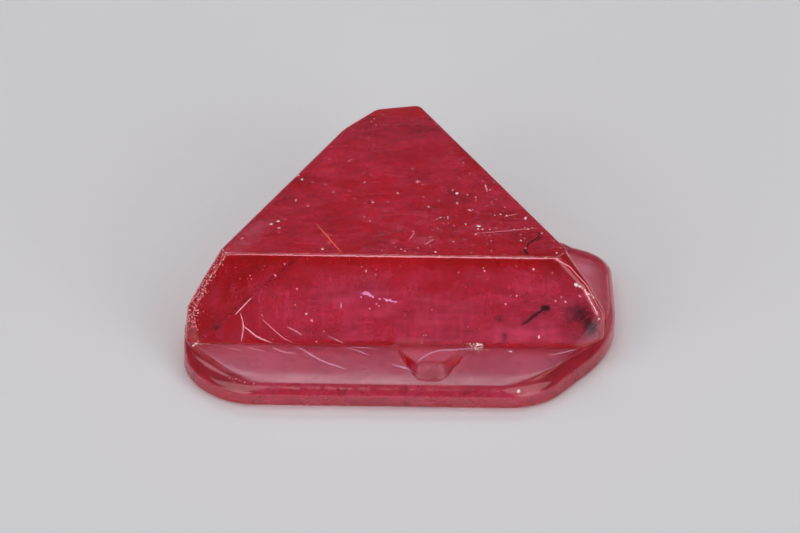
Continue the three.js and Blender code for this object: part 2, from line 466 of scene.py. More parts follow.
# Masks: each goes from 0 elsewhere to 1 on its own part of the skin.
z = points[:, 2]
speckle = noise_at(points, 0.12, 4, 3.0)
patches = noise_at(points, 0.45, 4, 7.0)
on_block = smoothstep(BLOCK_FOOT - 0.01, BLOCK_FOOT + 0.02, z)
left_margin = least_behind("front_left", "left")
left_rim = on_block * smoothstep(*FACE_FADE, left_margin + 0.03 * speckle)
right_rim = on_block * smoothstep(*FACE_FADE, behind("right", points) + 0.02 * speckle)
back_margin = least_behind("back_left", "back_upper_left", "back", "back_right")
back_faces = on_block * smoothstep(*WIDE_FACE_FADE, back_margin)
apex_margin = least_behind("back_upper_left", "back")
below_top = smoothstep(TOTAL_HEIGHT, TOTAL_HEIGHT - 0.03, z)
apex_walls = below_top * smoothstep(*WIDE_FACE_FADE, apex_margin)
underside = smoothstep(0.08, 0.01, z)
under_block = smoothstep(CLEAR_FRONT - 0.5, CLEAR_FRONT, points[:, 1])
plate_side = smoothstep(LIP_TOP - 0.055, LIP_TOP - 0.075, z) * (1 - underside)
front_side = plate_side * smoothstep(-2.4, -3.0, points[:, 1])
low_side = smoothstep(LIP_TOP - 0.15, LIP_TOP - 0.3, z)
tongue = smoothstep(0.01, 0.04, lift)
terrace = np.clip((1 - on_block) * (1 - plate_side) * (1 - underside) + tongue, 0, 1)
front_face = on_block * smoothstep(*FACE_FADE, behind("front", points))
top_face = smoothstep(TOTAL_HEIGHT - 0.01, TOTAL_HEIGHT, z)

frost = LEFT_RIM_FROST * left_rim + RIGHT_RIM_FROST * right_rim + BACK_FROST * back_faces
frost = frost + UNDER_FROST * underside * under_block * (0.8 + 0.5 * patches)
frost = frost + (SIDE_FROST + LOW_SIDE_FROST * low_side) * front_side * (1 + patches)
frost = frost + APEX_FROST * apex_walls
frost = frost + (TERRACE_FROST * (1 + 0.6 * patches) + TONGUE_FROST * tongue) * terrace
in_patches = smoothstep(-0.2, 0.5, patches)
frost = np.clip(frost + (FRONT_FROST * front_face + TOP_FROST * top_face) * in_patches, 0, 1)

placed, AXIS = place(points)
crystal = add_mesh("crystal", placed, faces)
crystal.data.attributes.new("frost", "FLOAT", "POINT").data.foreach_set("value", frost)


# ---- Materials ----

def new_material(name):
    """A material, its nodes and its Principled surface."""
    material = bpy.data.materials.new(name)
    material.use_nodes = True
    tree = material.node_tree
    return material, tree, tree.nodes["Principled BSDF"]


def stored(tree, name):
    """The value that the mesh stores at each point under name."""
    node = tree.nodes.new("ShaderNodeAttribute")
    node.attribute_name = name
    return node.outputs["Fac"]


def mixed(tree, factor, a, b):
    """From colour a to colour b as factor goes from 0 to 1; a may be another node's output."""
    node = tree.nodes.new("ShaderNodeMix")
    node.data_type = "RGBA"
    if isinstance(a, tuple):
        node.inputs["A"].default_value = (*a, 1)
    else:
        tree.links.new(a, node.inputs["A"])
    node.inputs["B"].default_value = (*b, 1)
    tree.links.new(factor, node.inputs["Factor"])
    return node.outputs["Result"]


def make_rough(tree, surface, value, low, high):
    """The surface's roughness, from low to high as value goes from 0 to 1."""
    node = tree.nodes.new("ShaderNodeMapRange")
    node.inputs["To Min"].default_value = low
    node.inputs["To Max"].default_value = high
    tree.links.new(value, node.inputs["Value"])
    tree.links.new(node.outputs["Result"], surface.inputs["Roughness"])


def make_bumpy(tree, surface, height, strength, distance):
    """Relief on the surface, distance millimetres deep at full strength."""
    node = tree.nodes.new("ShaderNodeBump")
    node.inputs["Strength"].default_value = strength
    node.inputs["Distance"].default_value = distance * MM
    tree.links.new(height, node.inputs["Height"])
    tree.links.new(node.outputs["Normal"], surface.inputs["Normal"])


def soft_noise(tree, per_mm, detail, stretch=(1, 1, 1)):
    """Noise over the piece, per_mm features a millimetre, drawn out where stretch is low."""
    place_at = tree.nodes.new("ShaderNodeTexCoord")
    scaled = tree.nodes.new("ShaderNodeMapping")
    scaled.inputs["Scale"].default_value = stretch
    node = tree.nodes.new("ShaderNodeTexNoise")
    node.inputs["Scale"].default_value = per_mm / MM
    node.inputs["Detail"].default_value = detail
    tree.links.new(place_at.outputs["Object"], scaled.inputs["Vector"])
    tree.links.new(scaled.outputs["Vector"], node.inputs["Vector"])
    return node


SPINEL_IOR = 1.718
# Light fades in the crystal by (1 - CLEAR_COLOUR) * ABSORPTION a metre in each channel.
CLEAR_COLOUR = (0.989, 0.36, 0.565)
ABSORPTION = 1300
BRIGHT_ROUGHNESS = 0.03
# The growth relief: features a millimetre before the stretch, and its depth in millimetres.
GROWTH_PER_MM = 1.6
GROWTH_STRETCH = (0.5, 1.6, 1.6)
GROWTH_DEPTH = 0.02
# An inclusion's mottling, likewise.
MOTTLES_PER_MM = 6
MOTTLE_DEPTH = 0.005


def spinel_material():
    """Clear red spinel, matte where the skin is frosted, with faint growth relief."""
    material, tree, surface = new_material("spinel")
    growth = soft_noise(tree, GROWTH_PER_MM, 5, GROWTH_STRETCH)
    growth.inputs["Roughness"].default_value = 0.55
    tint = mixed(tree, growth.outputs["Fac"], (1, 0.92, 0.95), (1, 1, 1))
    tree.links.new(tint, surface.inputs["Base Color"])
    make_rough(tree, surface, stored(tree, "frost"), BRIGHT_ROUGHNESS, 1)
    make_bumpy(tree, surface, growth.outputs["Fac"], 0.25, GROWTH_DEPTH)
    surface.inputs["IOR"].default_value = SPINEL_IOR
    surface.inputs["Transmission Weight"].default_value = 1
    absorb = tree.nodes.new("ShaderNodeVolumeAbsorption")
    absorb.inputs["Color"].default_value = (*CLEAR_COLOUR, 1)
    absorb.inputs["Density"].default_value = ABSORPTION
    tree.links.new(absorb.outputs["Volume"], tree.nodes["Material Output"].inputs["Volume"])
    return material


crystal.data.materials.append(spinel_material())
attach(crystal, "root")
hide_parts(NODE)


# ---- What is sealed in the crystal, and the specks and fractures that reach its skin ----

SKIN = BVHTree.FromPolygons([tuple(p) for p in points], faces)
# Farther out than any part of the crystal.
FAR = 9.0


def seen_from(way, places):
    """The spots on the skin that places lie on, seen from way."""
    found = []
    for spot in places:
        hit, _, _, _ = SKIN.ray_cast(Vector(spot) - FAR * Vector(way), Vector(way))
        if hit is not None:
            found.append(hit)
    return np.array(found)


def from_above(*places):
    """Spots on the skin at these x and y."""
    return seen_from((0, 0, -1), [(x, y, 0) for x, y in places])


def from_front(*places):
    """Spots on the skin at these x and z."""
    return seen_from((0, 1, 0), [(x, 0, z) for x, z in places])


def skin_near(spots):
    """The skin's nearest points to spots, and its outward directions there."""
    found = [SKIN.find_nearest(Vector(spot)) for spot in spots]
    return np.array([f[0] for f in found]), np.array([f[1] for f in found])


QUADS = np.array([face for face in faces if len(face) == 4])
QUAD_CORNERS = points[QUADS]
QUAD_NORMALS = np.cross(
    QUAD_CORNERS[:, 2] - QUAD_CORNERS[:, 0], QUAD_CORNERS[:, 3] - QUAD_CORNERS[:, 1]
)
QUAD_AREAS = np.linalg.norm(QUAD_NORMALS, axis=1)
QUAD_NORMALS /= np.maximum(QUAD_AREAS, 1e-12)[:, None]


def sprinkled(count, mask, depth=(0, 0)):
    """Random spots on the skin where mask, one value for each point, is high, or depth below."""
    weight = QUAD_AREAS * np.clip(mask, 0, None)[QUADS].mean(1)
    picks = rng.choice(len(QUADS), count, p=weight / weight.sum())
    u, v = rng.uniform(0, 1, (2, count, 1))
    a, b, c, d = QUAD_CORNERS[picks].transpose(1, 0, 2)
    spots = (1 - u) * ((1 - v) * a + v * d) + u * ((1 - v) * b + v * c)
    return spots - QUAD_NORMALS[picks] * rng.uniform(*depth, (count, 1))


def inside_block(spots, margin):
    """Which points lie in the block, at least margin in from its skin."""
    clear = np.minimum(spots[:, 2] - BASE_EDGE_RADIUS, TOTAL_HEIGHT - spots[:, 2])
    for name in BLOCK:
        clear = np.minimum(clear, behind(name, spots))
    return clear > margin


# The fine dust: how many grains, of what sizes, how far in, and how strongly they clump.
DUST = 260
DUST_RADII = (0.006, 0.016)
DUST_MARGIN = 0.1
CLUMP_SIZE = 0.5
CLUMPING = 0.85


def scattered(count):
    """Random points in the block, which gather in clumps."""
    kept, total = [], 0
    while total < count:
        batch = rng.uniform((-4.4, -2.9, 0.0), (4.4, 3.9, TOTAL_HEIGHT), (count, 3))
        batch = batch[inside_block(batch, DUST_MARGIN)]
        share = smoothstep(-0.1, 0.5, noise_at(batch, CLUMP_SIZE, 3, 21.0))
        batch = batch[rng.uniform(0, 1, len(batch)) > CLUMPING * (1 - share)]
        kept.append(batch)
        total += len(batch)
    return np.concatenate(kept)[:count]


def finish_inclusion(name, spots, faces, material):
    """A piece in the crystal, from spots in millimetres from the axis."""
    piece = add_mesh(name, (spots + AXIS) * MM, faces, smooth=False)
    piece.data.materials.append(material)
    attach(piece, "root")
    return piece


def add_grains(name, centres, radii, material):
    """Tiny four-faced grains, each turned at random, as one piece."""
    corners = np.array(((1, 1, 1), (1, -1, -1), (-1, 1, -1), (-1, -1, 1))) / math.sqrt(3)
    turns, _ = np.linalg.qr(rng.normal(size=(len(centres), 3, 3)))
    shapes = rng.uniform(0.5, 1.3, (len(centres), 1, 3))
    radii = np.broadcast_to(radii, len(centres))[:, None, None]
    grains = (corners * shapes) @ turns * radii + centres[:, None, :]
    order = ((0, 1, 2), (0, 3, 1), (0, 2, 3), (1, 3, 2))
    grain_faces = [
        (4 * g + a, 4 * g + b, 4 * g + c) for g in range(len(centres)) for a, b, c in order
    ]
    return finish_inclusion(name, grains.reshape(-1, 3), grain_faces, material)


def along_line(knots, step):
    """Points step apart on a smooth curve through knots."""
    knots = np.array(knots, float)
    ends = np.vstack((2 * knots[0] - knots[1], knots, 2 * knots[-1] - knots[-2]))
    line = []
    for i in range(len(knots) - 1):
        p0, p1, p2, p3 = ends[i:i + 4]
        count = max(int(np.linalg.norm(p2 - p1) / step), 1)
        for t in np.arange(count) / count:
            line.append(0.5 * (
                2 * p1 + (p2 - p0) * t + (2 * p0 - 5 * p1 + 4 * p2 - p3) * t * t
                + (3 * p1 - p0 - 3 * p2 + p3) * t ** 3
            ))
    return np.array([*line, knots[-1]])


def add_parts(name, parts, material):
    """Several closed shapes, each (points, faces), as one piece."""
    offsets = np.cumsum([0] + [len(spots) for spots, _ in parts])
    all_faces = [
        tuple(int(base) + i for i in face)
        for base, (_, part_faces) in zip(offsets, parts) for face in part_faces
    ]
    all_spots = np.concatenate([spots for spots, _ in parts])
    return finish_inclusion(name, all_spots, all_faces, material)


# How far apart the spots along a seam are, and how many corners a flake has.
SEAM_STEP = 0.02
FLAKE_CORNERS = 6


def seam(width, knots, proud=0.2, sunk=0.0):
    """A thin seam in the skin along knots: a four-sided rod that tapers at both ends."""
    spots, normals = skin_near(along_line(knots, SEAM_STEP))
    spots = spots - normals * sunk
    across = np.cross(normals, np.gradient(spots, axis=0))
    across /= np.maximum(np.linalg.norm(across, axis=1), 1e-9)[:, None]
    share = np.linspace(0, 1, len(spots))
    taper = np.sqrt(np.clip(4 * share * (1 - share), 0.05, 1))
    half = (0.5 * width * taper * rng.uniform(0.6, 1.3, len(spots)))[:, None]
    spots = spots + across * rng.normal(0, 0.12 * width, (len(spots), 1))
    rods = np.stack((
        spots + across * half, spots + normals * half * proud,
        spots - across * half, spots - normals * half * 0.6,
    ), axis=1)
    last = 4 * (len(spots) - 1)
    rod_faces = [(0, 1, 2, 3), (last + 3, last + 2, last + 1, last)]
    for i in range(len(spots) - 1):
        for k in range(4):
            a, b = 4 * i + k, 4 * i + (k + 1) % 4
            rod_faces.append((a, a + 4, b + 4, b))
    return rods.reshape(-1, 3), rod_faces


def flakes(spots, size, proud=0.6, stretch=1.2):
    """Small ragged flakes that lie on the skin at spots."""
    spots, normals = skin_near(spots)
    sizes = size * rng.uniform(0.6, 1.3, len(spots))
    turns = np.linspace(0, 2 * math.pi, FLAKE_CORNERS, endpoint=False)
    flake_faces = []
    for i in range(FLAKE_CORNERS):
        j = (i + 1) % FLAKE_CORNERS
        flake_faces += [(i, j, FLAKE_CORNERS), (j, i, FLAKE_CORNERS + 1)]
    parts = []
    for spot, normal, width in zip(spots, normals, sizes):
        along = np.cross(normal, rng.normal(size=3))
        along /= np.linalg.norm(along)
        across = np.cross(normal, along)
        reach = 0.5 * width * rng.uniform(0.6, 1.2, FLAKE_CORNERS)
        rim = (
            spot + np.outer(np.cos(turns) * reach * stretch, along)
            + np.outer(np.sin(turns) * reach, across)
        )
        tips = spot + np.outer((0.5 * width * proud, -0.4 * width * proud), normal)
        parts.append((np.vstack((rim, tips)), flake_faces))
    return parts


def cloud(centre, spread, count):
    """Random spots about centre."""
    return rng.normal(centre, spread, (count, 3))


def mottled_material(name, colour, other, roughness):
    """An inclusion's material: two colours in soft patches, with rougher and smoother spots."""
    material, tree, surface = new_material(name)
    patches = soft_noise(tree, MOTTLES_PER_MM, 3).outputs["Fac"]
    tree.links.new(mixed(tree, patches, colour, other), surface.inputs["Base Color"])
    make_rough(tree, surface, patches, roughness - 0.1, roughness + 0.1)
    make_bumpy(tree, surface, patches, 0.3, MOTTLE_DEPTH)
    return material


PALE = mottled_material("pale_grain", (0.95, 0.70, 0.85), (0.95, 0.85, 0.92), 0.5)
# White for specks that stand in for the lamps' glints: painted highlights.
GLINT_WHITE = mottled_material("white_glint_speck", (1.0, 0.85, 0.86), (1.0, 0.98, 0.97), 0.25)
ROSE = mottled_material("rose_seam", (0.85, 0.38, 0.50), (1.0, 0.60, 0.72), 0.4)
PINK = mottled_material("pink_speck", (1.0, 0.20, 0.32), (1.0, 0.50, 0.60), 0.3)
LILAC = mottled_material("lilac_seam", (0.75, 0.35, 0.58), (0.80, 0.45, 0.68), 0.5)
MAGENTA = mottled_material("magenta_speck", (1.0, 0.15, 0.45), (1.0, 0.45, 0.75), 0.25)
DARK = mottled_material("dark_grain", (0.03, 0.003, 0.006), (0.10, 0.01, 0.02), 0.6)
SCARLET = mottled_material("scarlet_seam", (1.0, 0.05, 0.05), (1.0, 0.20, 0.15), 0.4)

add_grains("dust", scattered(DUST), rng.uniform(*DUST_RADII, DUST), PALE)


# The veils' colours: in places the maroon is painted shade and the lilac a painted sheen.
VEIL_PINK = (1.0, 0.12, 0.30)
VEIL_MAROON = (0.32, 0.01, 0.03)
VEIL_LILAC = (0.95, 0.72, 0.95)
VEIL_THICKNESS = 0.01


def veil_material():
    """Haze: it hides what is behind it by its opacity.

    Its tone goes from pink at 0 to maroon at 1, and its bloom makes it paler, and lilac.
    In places the maroon is painted shade and the lilac a painted sheen.
    """
    material, tree, surface = new_material("veil")
    patches = soft_noise(tree, MOTTLES_PER_MM, 3).outputs["Fac"]
    make_rough(tree, surface, patches, 0.5, 0.7)
    make_bumpy(tree, surface, patches, 0.3, MOTTLE_DEPTH)
    surface.inputs["Specular IOR Level"].default_value = 0.15
    tint = mixed(tree, stored(tree, "tone"), VEIL_PINK, VEIL_MAROON)
    paler = mixed(tree, stored(tree, "bloom"), tint, VEIL_LILAC)
    tree.links.new(paler, surface.inputs["Base Color"])
    tree.links.new(stored(tree, "opacity"), surface.inputs["Alpha"])
    return material


VEIL = veil_material()


def add_veil(name, rows, inward, opacity, tone, bloom):
    """A thin closed sheet through rows of points, with an opacity, tone and bloom at each."""
    deep, wide = rows.shape[:2]
    layer = deep * wide
    spots = np.concatenate((rows.reshape(-1, 3), (rows + inward * VEIL_THICKNESS).reshape(-1, 3)))
    index = np.arange(layer).reshape(deep, wide)
    a, b, c, d = index[:-1, :-1], index[:-1, 1:], index[1:, 1:], index[1:, :-1]
    top = np.stack((a, b, c, d), -1).reshape(-1, 4)
    loop = np.concatenate((index[0], index[1:, -1], index[-1, -2::-1], index[-2:0:-1, 0]))
    after = np.roll(loop, -1)
    walls = np.stack((after, loop, loop + layer, after + layer), -1)
    sheet = np.concatenate((top, top[:, ::-1] + layer, walls))
    piece = finish_inclusion(name, spots, sheet.tolist(), VEIL)
    for key, values in (("opacity", opacity), ("tone", tone), ("bloom", bloom)):
        attribute = piece.data.attributes.new(key, "FLOAT", "POINT")
        attribute.data.foreach_set("value", np.tile(np.clip(values, 0, 1).ravel(), 2))


def noise_rows(rows, stretch, scale, octaves, seed):
    """Smooth noise at rows of points, drawn out by stretch along each axis."""
    shape = rows.shape[:2]
    return noise_at(rows.reshape(-1, 3) / stretch, scale, octaves, seed).reshape(shape)


def behind_rows(name, rows):
    """How far rows of points lie inside one of the block's sides."""
    return behind(name, rows.reshape(-1, 3)).reshape(rows.shape[:2])


def fade_down(rows, width):
    """0 at the first and last of the rows and 1 from width inwards."""
    down = np.linalg.norm(rows - rows[:1], axis=2)
    down = np.minimum(down, np.linalg.norm(rows - rows[-1:], axis=2))
    return smoothstep(0, width, down)


def edge_fade(rows, width):
    """0 at the border of rows and 1 from width inwards."""
    across = np.linalg.norm(rows - rows[:, :1], axis=2)
    across = np.minimum(across, across[:, -1:] - across)
    return smoothstep(0, width, across) * fade_down(rows, width)


# How deep each veil lies, and how wide a border it fades out over.
FRONT_VEIL_DEPTH, FRONT_VEIL_FADE = 0.05, 0.06
TOP_VEIL_DEPTH, TOP_VEIL_FADE = 0.06, 0.05
PLATE_VEIL_DEPTH, PLATE_VEIL_FADE = 0.04, 0.05
FRONT_ROWS = 46
TOP_ROWS, TOP_COLUMNS = 110, 150
# The plate veil's rows up the plate's side, over its lip and across the terrace.
SIDE_ROWS, LIP_ROWS, TERRACE_ROWS = 8, 7, 25


def front_rows(depth, count):
    """Rows of points in the block, depth behind its front face and its right end's facet."""
    rows = []
    for height in np.linspace(BLOCK_FOOT + 0.03, TOTAL_HEIGHT - 0.08, count):
        ring = block_outline(height, depth)
        end = ARC_STEPS + SIDE_STEPS["front_right"]
        rows.append(level(np.concatenate((ring[-SIDE_STEPS["front"]:], ring[:end])), height))
    return np.array(rows)


def top_rows(depth, count, steps):
    """Rows of points in the block, depth under its top face."""
    rows = []
    height = TOTAL_HEIGHT - depth
    for y in np.linspace(-2.1, 3.0, count):
        probe = np.array([(x, y, height) for x in np.arange(-4, 4, 0.02)])
        probe = probe[inside_block(probe, 0.04)]
        rows.append(np.linspace(probe[0], probe[-1], steps))
    return np.array(rows)


def bump_at(x, y, centre, spread):
    """A soft spot: 1 at centre, falling off over spread."""
    return np.exp(-((x - centre[0]) / spread[0]) ** 2 - ((y - centre[1]) / spread[1]) ** 2)


def plate_rows(depth):
    """Rows of points depth inside the plate, up its side, over its lip and to the block's foot."""
    rows = [side_ring(z, depth) for z in np.linspace(BASE_EDGE_RADIUS, WIDEST, SIDE_ROWS)]
    rows += [lip_ring(angle, depth) for angle in np.linspace(0, LIP_TURN, LIP_ROWS + 1)[1:]]
    foot = level(block_outline(BLOCK_FOOT), BLOCK_FOOT - depth)
    rim = rows[-1]
    for share in np.linspace(0, 1, TERRACE_ROWS + 1)[1:]:
        ring = rim + (foot - rim) * share
        bend_down(ring, rim, share, depth)
        rows.append(ring)
    # The rows start and end behind the block, out of the photo's view.
    turn = sum(ARC_STEPS + SIDE_STEPS[b] for _, b, _ in PLATE_CORNERS[:6])
    return np.roll(np.array(rows), -turn, axis=1)


def add_front_veil():
    """Haze behind the front face: most in its lower middle, with curtains that hang in it."""
    rows = front_rows(FRONT_VEIL_DEPTH, FRONT_ROWS)
    x, z = rows[:, :, 0], rows[:, :, 2]
    cloudy = smoothstep(-0.6, 0.6, noise_rows(rows, (2.0, 1, 0.9), 0.6, 5, 31.0))
    streaks = smoothstep(-0.5, 0.8, noise_rows(rows, (2.6, 1, 0.6), 0.22, 3, 17.0))
    curtains = smoothstep(-0.3, 0.9, noise_rows(rows, (0.4, 1, 1.8), 0.3, 4, 23.0))
    dusky = smoothstep(-0.4, 0.7, noise_rows(rows, (2.5, 1, 0.8), 0.4, 3, 47.0))
    low_band = smoothstep(2.4, 1.4, z)
    middle = 0.1 + 0.9 * smoothstep(-3.4, -1.4, x + 0.5 * (z - 1.5))
    round_corner = smoothstep(0.0, 0.08, behind_rows("front", rows) - 0.055)
    # The dark grains show through a thin place in the haze, with maroon round it.
    thin_place = bump_at(x, z, (3.95, 1.12), (0.26, 0.30))
    maroon_place = bump_at(x, z, (3.9, 1.0), (0.35, 0.4))
    opacity = low_band * middle * (0.20 + 0.45 * cloudy + 0.30 * streaks)
    opacity = opacity + 0.3 * curtains * smoothstep(2.4, 1.9, z) + 0.3 * round_corner
    opacity = opacity * (1 - 0.85 * thin_place) * edge_fade(rows, FRONT_VEIL_FADE)
    tone = 0.25 * dusky + 0.5 * maroon_place
    bloom = 0.08 * streaks * cloudy * middle + 0.25 * round_corner
    add_veil("front_veil", rows, np.array((0, 1, 0)), opacity, tone, bloom)


def add_top_veil():
    """Haze under the top face: paler in a stripe along its left edge, redder at the apex.

    The paler stripe is a painted sheen.
    """
    rows = top_rows(TOP_VEIL_DEPTH, TOP_ROWS, TOP_COLUMNS)
    x, y = rows[:, :, 0], rows[:, :, 1]
    cloudy = smoothstep(-0.3, 0.4, noise_rows(rows, (1.5, 1, 1), 0.5, 4, 61.0))
    wisps = smoothstep(-0.1, 0.5, noise_rows(rows, (1.8, 0.8, 1), 0.22, 4, 67.0))
    dusky = smoothstep(-0.2, 0.7, noise_rows(rows, (2.0, 0.8, 1), 0.4, 3, 71.0))
    # A paler stripe inside the left edge: a painted sheen, the lamps' light that bumps in the top
    # face reflect.
    sheen_stripe = smoothstep(0.35, 0.05, np.abs(behind_rows("back_left", rows) - 0.3))
    sheen_stripe = sheen_stripe * smoothstep(-0.4, -1.2, y)
    low_middle = bump_at(x, y, (0.4, -1.3), (1.2, 0.6))
    apex = smoothstep(1.6, 2.6, y)
    opacity = 0.05 + 0.22 * cloudy + 0.22 * wisps + 0.20 * sheen_stripe + 0.08 * low_middle
    opacity = (opacity + 0.25 * apex) * edge_fade(rows, TOP_VEIL_FADE)
    tone = 0.6 * dusky * (1 - sheen_stripe) * (1 - 0.4 * apex) + 0.3 * apex
    bloom = 0.35 * sheen_stripe + 0.25 * low_middle * wisps
    add_veil("top_veil", rows, np.array((0, 0, -1)), opacity, tone, bloom)


def add_plate_veil():
    """Haze in the plate's front and lobe: mottled red at its side and lip, lilac under its top.

    The lilac is a painted sheen. The maroon at the lip's corners and the tongue's front, and a red
    crescent in the lobe, are painted shade.
    """
    rows = plate_rows(PLATE_VEIL_DEPTH)
    x, y, z = rows[:, :, 0], rows[:, :, 1], rows[:, :, 2]
    lip_row = SIDE_ROWS + LIP_ROWS - 1
    inward = np.linalg.norm(rows[:, :, :2] - rows[lip_row, :, :2], axis=2)
    on_top = (np.arange(len(rows)) >= lip_row)[:, None] * smoothstep(0, 0.1, inward)
    on_side = smoothstep(0.40, 0.30, z) * (1 - on_top)
    on_lip = (1 - on_top) * (1 - on_side)
    in_tongue = smoothstep(0, 0.05, tongue_rise(rows.reshape(-1, 3))).reshape(x.shape)
    # The tongue's front slope gets dense dark red haze: painted shade, in place of the dark it
    # reflects.
    tongue_front_shade = in_tongue * smoothstep(-3.45, -3.6, y)
    ahead = smoothstep(-2.2, -2.8, y)
    # The lip's corners get maroon haze: painted shade, darkening them to the deep red of a dark
    # reflection.
    corners = smoothstep(2.7, 3.3, np.abs(x)) * ahead
    # The left end and a band inside the lip are paler and lilac: a painted sheen, the back lamp's
    # reflection.
    left_end = smoothstep(-1.6, -3.0, x)
    lilac_sheen_band = smoothstep(0.55, 0.15, inward) * smoothstep(2.4, 1.2, x)
    lobe = smoothstep(3.4, 3.8, x) * smoothstep(-2.2, -1.6, y)
    # A red crescent where the lobe's top slopes away: painted shade.
    shaded_crescent = lobe * on_top * smoothstep(0.36, 0.24, inward) * smoothstep(-1.5, -1.0, y)
    cloudy = smoothstep(-0.3, 0.4, noise_rows(rows, (1.5, 1, 1), 0.4, 4, 81.0))
    spots = smoothstep(0.15, 0.5, noise_rows(rows, (1, 1, 1), 0.16, 3, 87.0))

    side_haze = on_side * (0.4 + 0.3 * cloudy)
    lip_haze = on_lip * (0.3 + 0.3 * cloudy) * (1 - corners)
    opacity = ahead * (side_haze + lip_haze)
    opacity = opacity + 0.35 * corners * (on_lip + on_top * smoothstep(0.25, 0.12, inward))
    opacity = opacity + on_top * ahead * (0.13 + 0.13 * cloudy) * smoothstep(0.02, 0.2, inward)
    opacity = opacity + 0.6 * shaded_crescent
    opacity = opacity * (1 - in_tongue) + 0.9 * tongue_front_shade
    opacity = opacity * fade_down(rows, PLATE_VEIL_FADE)

    # Tone: maroon in mottled spots, and painted shade at the lip's corners, the tongue's front and
    # the crescent.
    tone = 0.4 * spots + 0.1 * on_lip * ahead + 0.4 * corners * (1 - on_side) + 0.1 * shaded_crescent
    tone = tone + 0.35 * on_top * ahead * (1 - left_end) * (1 - 0.6 * lilac_sheen_band) + 0.12 * on_side
    tone = tone * (1 - tongue_front_shade) + 0.4 * tongue_front_shade

    # Bloom: a painted lilac sheen on the terrace, strongest at the left end and inside the lip.
    bloom = 0.14 + 0.15 * cloudy + (0.3 * left_end + 0.35 * lilac_sheen_band) * ahead
    bloom = on_top * (1 - shaded_crescent) * bloom
    bloom = bloom * (1 - corners * smoothstep(0.3, 0.15, inward)) * (1 - in_tongue)
    add_veil("plate_veil_and_painted_light", rows, np.array((0, 0, -1)), opacity, tone, bloom)


add_front_veil()
add_top_veil()
add_plate_veil()


# Fractures that run up the front face and out over the terrace.
add_parts("fractures", [
    seam(0.024, from_front((-3.33, 1.20), (-3.16, 1.38), (-2.99, 1.55))),
    seam(0.022, from_front((-3.22, 1.24), (-3.16, 0.98), (-3.20, 0.65))),
    seam(0.030, from_front((-3.16, 0.98), (-2.89, 0.77), (-2.56, 0.63))),
    seam(0.014, from_front((-2.77, 1.12), (-2.35, 0.76), (-2.12, 0.64))),
    seam(0.018, from_front((-2.25, 0.97), (-2.04, 0.87), (-1.93, 0.79))),
    seam(0.014, from_front((-1.40, 0.80), (-1.05, 0.64))),
    seam(0.018, from_front((-1.12, 1.49), (-1.12, 1.35))),
    seam(0.030, from_above((-2.56, -2.90), (-2.35, -3.06), (-2.06, -3.13))),
    seam(0.020, from_above((-3.50, -2.92), (-3.36, -2.97), (-3.20, -3.02))),
    seam(0.022, from_above((-3.12, -2.90), (-2.90, -2.98), (-2.70, -3.06))),
    seam(0.028, from_above((3.20, -3.19), (3.50, -3.10), (3.78, -2.98))),
], ROSE)
add_parts("lilac_seams", [
    seam(0.045, from_above((-2.06, -2.90), (-1.89, -3.02), (-1.52, -3.38), (-1.00, -3.67))),
    seam(0.028, from_above((-1.00, -2.90), (-0.75, -3.05), (-0.52, -3.20))),
    seam(0.020, from_above((-0.92, -2.90), (-0.60, -2.93), (-0.39, -3.00))),
    seam(0.050, from_above((-0.06, -3.52), (0.25, -3.64), (0.38, -3.80))),
    seam(0.055, from_above(
        (0.49, -3.62), (0.60, -3.42), (0.76, -3.20), (0.98, -3.09), (1.25, -3.07), (1.55, -2.98),
    )),
], LILAC)


def on_corner(corner, share, height):
    """The spot share of the way round the arc of one of the block's corners."""
    index = sum(ARC_STEPS + SIDE_STEPS[b] for _, b, _ in BLOCK_CORNERS[:corner])
    return (*block_outline(height)[index + round(ARC_STEPS * share)], height)


# The worn edge runs along the front face's top, then round and down its right end. Its pink seam
# is partly real wear and partly a painted highlight: the bright line where the lamps catch that
# edge.
FRONT_CORNER = 0
ALONG_FRONT = (-3.4, -1.2, 1.0, 3.2)
ROUND_AND_DOWN = (
    (0.2, 2.41), (0.6, 2.34), (1, 2.22), (1, 2.05), (1, 1.85), (1, 1.5), (1, 1.25), (1, 0.95),
)
front_x, front_y = heading_vector(BLOCK["front"]["heading"])
worn_edge_highlight_line = [
    (x, (BLOCK["front"]["top"] - front_x * x) / front_y, TOTAL_HEIGHT) for x in ALONG_FRONT
]
worn_edge_highlight_line += [on_corner(FRONT_CORNER, share, height) for share, height in ROUND_AND_DOWN]
add_parts("worn_edge_highlight", [seam(0.032, worn_edge_highlight_line, proud=0.4)], PINK)

